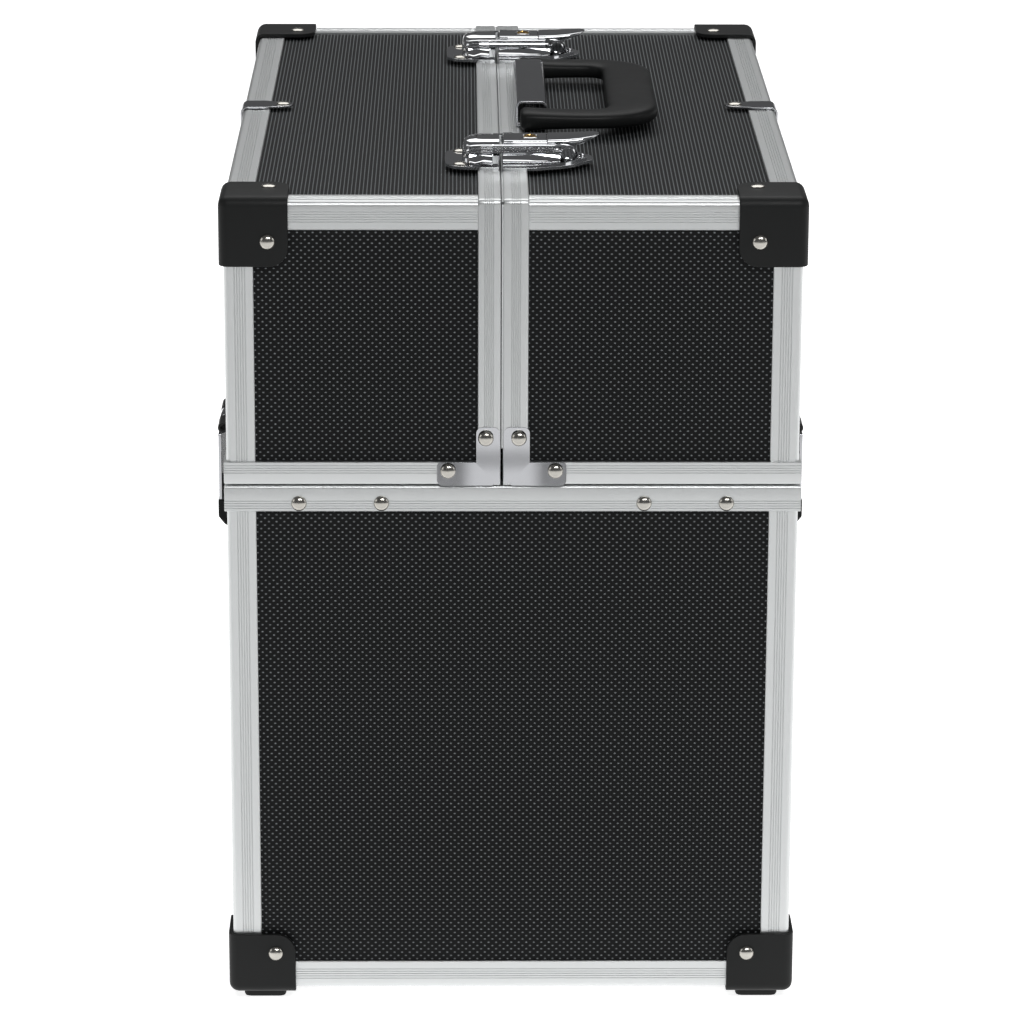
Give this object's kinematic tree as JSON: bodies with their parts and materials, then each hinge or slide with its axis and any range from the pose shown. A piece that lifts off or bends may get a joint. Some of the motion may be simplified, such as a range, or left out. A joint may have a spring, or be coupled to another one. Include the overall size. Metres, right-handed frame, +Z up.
{
  "type": "makeup train case",
  "caption": "Tall black make-up train case with aluminium edges, outward-folding lids, rising cantilever trays, keyed draw latches and a fold-down carry handle.",
  "frame": {"origin": "on the floor under the middle of the case", "axes": "+X to the right across the narrow end, +Y along the case from the near end to the far end, +Z up"},
  "size_m": [0.2522, 0.374, 0.3628],
  "materials": {
    "panel_skin": "embossed raised dots, semi-matt",
    "aluminium": "fine lengthwise grooves, satin anodised",
    "black_plastic": "moulded, semi-matt",
    "rivet_nickel": "nickel plated",
    "bright_steel": "polished plate",
    "dark_steel": "black coated",
    "arm_steel": "zinc plated",
    "lock_brass": "turned",
    "tray_plastic": "fine grained"
  },
  "bodies": {
    "base": {"base_end_panel_near": "panel_skin", "base_end_panel_far": "panel_skin", "base_side_panel_left": "panel_skin", "base_side_panel_right": "panel_skin", "base_floor_panel": "panel_skin", "base_corner_posts": "aluminium", "base_floor_edging": "aluminium", "base_rim_rails": "aluminium", "bottom_corner_caps": "black_plastic", "hinge_end_caps": "black_plastic", "base_rivets": "rivet_nickel", "hinge_base_leaves": "bright_steel", "hinge_pins": "bright_steel", "tray_brackets": "arm_steel"},
    "lid_left": {"lid_left_top_panel": "panel_skin", "lid_left_side_panel": "panel_skin", "lid_left_end_panel_near": "panel_skin", "lid_left_end_panel_far": "panel_skin", "lid_left_edging": "aluminium", "lid_left_centre_frame": "aluminium", "lid_left_corner_caps": "black_plastic", "lid_left_corner_brackets": "bright_steel", "lid_left_edge_clip": "bright_steel", "lid_left_hinge_leaves": "dark_steel", "lid_left_rivets": "rivet_nickel", "catch_plates": "bright_steel"},
    "lid_right": {"lid_right_top_panel": "panel_skin", "lid_right_side_panel": "panel_skin", "lid_right_end_panel_near": "panel_skin", "lid_right_end_panel_far": "panel_skin", "lid_right_edging": "aluminium", "lid_right_centre_frame": "aluminium", "lid_right_corner_caps": "black_plastic", "lid_right_corner_brackets": "bright_steel", "lid_right_edge_clip": "bright_steel", "lid_right_hinge_leaves": "dark_steel", "lid_right_rivets": "rivet_nickel", "latch_bases": "bright_steel", "handle_bracket": "bright_steel"},
    "handle": {"handle_grip": "black_plastic", "handle_rod": "bright_steel"},
    "latch_lever_near": {"latch_lever_near": "bright_steel"},
    "latch_hook_near": {"latch_hook_near": "bright_steel"},
    "lock_core_near": {"lock_core_near": "lock_brass"},
    "latch_lever_far": {"latch_lever_far": "bright_steel"},
    "latch_hook_far": {"latch_hook_far": "bright_steel"},
    "lock_core_far": {"lock_core_far": "lock_brass"},
    "arm_left_lower_outer": {"arm_left_lower_outer": "arm_steel"},
    "arm_left_lower_inner": {"arm_left_lower_inner": "arm_steel"},
    "tray_left_lower": {"tray_left_lower": "tray_plastic"},
    "arm_left_upper_outer": {"arm_left_upper_outer": "arm_steel"},
    "arm_left_upper_inner": {"arm_left_upper_inner": "arm_steel"},
    "tray_left_upper": {"tray_left_upper": "tray_plastic"},
    "arm_right_lower_outer": {"arm_right_lower_outer": "arm_steel"},
    "arm_right_lower_inner": {"arm_right_lower_inner": "arm_steel"},
    "tray_right_lower": {"tray_right_lower": "tray_plastic"},
    "arm_right_upper_outer": {"arm_right_upper_outer": "arm_steel"},
    "arm_right_upper_inner": {"arm_right_upper_inner": "arm_steel"},
    "tray_right_upper": {"tray_right_upper": "tray_plastic"}
  },
  "joints": [
    {"name": "lid_left_hinge", "type": "hinge", "parent": "base", "child": "lid_left", "pos_m": [-0.1237, 0, 0.231], "axis": [0, -1, 0], "range_deg": [0, 95]},
    {"name": "arm_left_lower_outer_pivot", "type": "hinge", "parent": "base", "child": "arm_left_lower_outer", "pos_m": [-0.0882, 0, 0.2223], "axis": [0, -1, 0], "range_deg": [0, 80.01]},
    {"name": "arm_left_lower_inner_pivot", "type": "hinge", "parent": "base", "child": "arm_left_lower_inner", "pos_m": [-0.0542, 0, 0.2223], "axis": [0, -1, 0], "range_deg": [0, 80.01]},
    {"name": "tray_left_lower_pivot", "type": "hinge", "parent": "arm_left_lower_outer", "child": "tray_left_lower", "pos_m": [-0.05052, 0, 0.24868], "axis": [0, -1, 0], "range_deg": [-80.01, 0]},
    {"name": "arm_left_upper_outer_pivot", "type": "hinge", "parent": "tray_left_lower", "child": "arm_left_upper_outer", "pos_m": [-0.093, 0, 0.27], "axis": [0, -1, 0], "range_deg": [0, 80.01]},
    {"name": "arm_left_upper_inner_pivot", "type": "hinge", "parent": "tray_left_lower", "child": "arm_left_upper_inner", "pos_m": [-0.059, 0, 0.27], "axis": [0, -1, 0], "range_deg": [0, 80.01]},
    {"name": "tray_left_upper_pivot", "type": "hinge", "parent": "arm_left_upper_outer", "child": "tray_left_upper", "pos_m": [-0.05532, 0, 0.29639], "axis": [0, -1, 0], "range_deg": [-80.01, 0]},
    {"name": "lid_right_hinge", "type": "hinge", "parent": "base", "child": "lid_right", "pos_m": [0.1237, 0, 0.231], "axis": [0, 1, 0], "range_deg": [0, 95]},
    {"name": "arm_right_lower_outer_pivot", "type": "hinge", "parent": "base", "child": "arm_right_lower_outer", "pos_m": [0.0882, 0, 0.2223], "axis": [0, 1, 0], "range_deg": [0, 80.01]},
    {"name": "arm_right_lower_inner_pivot", "type": "hinge", "parent": "base", "child": "arm_right_lower_inner", "pos_m": [0.0542, 0, 0.2223], "axis": [0, 1, 0], "range_deg": [0, 80.01]},
    {"name": "tray_right_lower_pivot", "type": "hinge", "parent": "arm_right_lower_outer", "child": "tray_right_lower", "pos_m": [0.05052, 0, 0.24868], "axis": [0, 1, 0], "range_deg": [-80.01, 0]},
    {"name": "arm_right_upper_outer_pivot", "type": "hinge", "parent": "tray_right_lower", "child": "arm_right_upper_outer", "pos_m": [0.093, 0, 0.27], "axis": [0, 1, 0], "range_deg": [0, 80.01]},
    {"name": "arm_right_upper_inner_pivot", "type": "hinge", "parent": "tray_right_lower", "child": "arm_right_upper_inner", "pos_m": [0.059, 0, 0.27], "axis": [0, 1, 0], "range_deg": [0, 80.01]},
    {"name": "tray_right_upper_pivot", "type": "hinge", "parent": "arm_right_upper_outer", "child": "tray_right_upper", "pos_m": [0.05532, 0, 0.29639], "axis": [0, 1, 0], "range_deg": [-80.01, 0]},
    {"name": "handle_hinge", "type": "hinge", "parent": "lid_right", "child": "handle", "pos_m": [0.009, 0, 0.3562], "axis": [0, -1, 0], "range_deg": [0, 90]},
    {"name": "latch_lever_near_hinge", "type": "hinge", "parent": "lid_right", "child": "latch_lever_near", "pos_m": [-0.0015, -0.112, 0.3588], "axis": [0, -1, 0], "range_deg": [0, 100]},
    {"name": "latch_hook_near_pivot", "type": "hinge", "parent": "latch_lever_near", "child": "latch_hook_near", "pos_m": [0.022, -0.112, 0.3588], "axis": [0, 1, 0], "range_deg": [0, 180]},
    {"name": "lock_core_near_turn", "type": "hinge", "parent": "latch_lever_near", "child": "lock_core_near", "pos_m": [0.0075, -0.112, 0.3588], "axis": [0, 0, 1], "range_deg": [0, 90]},
    {"name": "latch_lever_far_hinge", "type": "hinge", "parent": "lid_right", "child": "latch_lever_far", "pos_m": [-0.0015, 0.112, 0.3588], "axis": [0, -1, 0], "range_deg": [0, 100]},
    {"name": "latch_hook_far_pivot", "type": "hinge", "parent": "latch_lever_far", "child": "latch_hook_far", "pos_m": [0.022, 0.112, 0.3588], "axis": [0, 1, 0], "range_deg": [0, 180]},
    {"name": "lock_core_far_turn", "type": "hinge", "parent": "latch_lever_far", "child": "lock_core_far", "pos_m": [0.0075, 0.112, 0.3588], "axis": [0, 0, 1], "range_deg": [0, 90]}
  ],
  "couplings": [
    {"joint": "arm_left_lower_outer_pivot", "follows": "lid_left_hinge", "ratio": 0.8421},
    {"joint": "arm_left_lower_inner_pivot", "follows": "lid_left_hinge", "ratio": 0.8421},
    {"joint": "tray_left_lower_pivot", "follows": "lid_left_hinge", "ratio": -0.8421},
    {"joint": "arm_left_upper_outer_pivot", "follows": "lid_left_hinge", "ratio": 0.8421},
    {"joint": "arm_left_upper_inner_pivot", "follows": "lid_left_hinge", "ratio": 0.8421},
    {"joint": "tray_left_upper_pivot", "follows": "lid_left_hinge", "ratio": -0.8421},
    {"joint": "arm_right_lower_outer_pivot", "follows": "lid_right_hinge", "ratio": 0.8421},
    {"joint": "arm_right_lower_inner_pivot", "follows": "lid_right_hinge", "ratio": 0.8421},
    {"joint": "tray_right_lower_pivot", "follows": "lid_right_hinge", "ratio": -0.8421},
    {"joint": "arm_right_upper_outer_pivot", "follows": "lid_right_hinge", "ratio": 0.8421},
    {"joint": "arm_right_upper_inner_pivot", "follows": "lid_right_hinge", "ratio": 0.8421},
    {"joint": "tray_right_upper_pivot", "follows": "lid_right_hinge", "ratio": -0.8421},
    {"joint": "latch_hook_near_pivot", "follows": "latch_lever_near_hinge", "ratio": 1.8},
    {"joint": "latch_hook_far_pivot", "follows": "latch_lever_far_hinge", "ratio": 1.8}
  ]
}
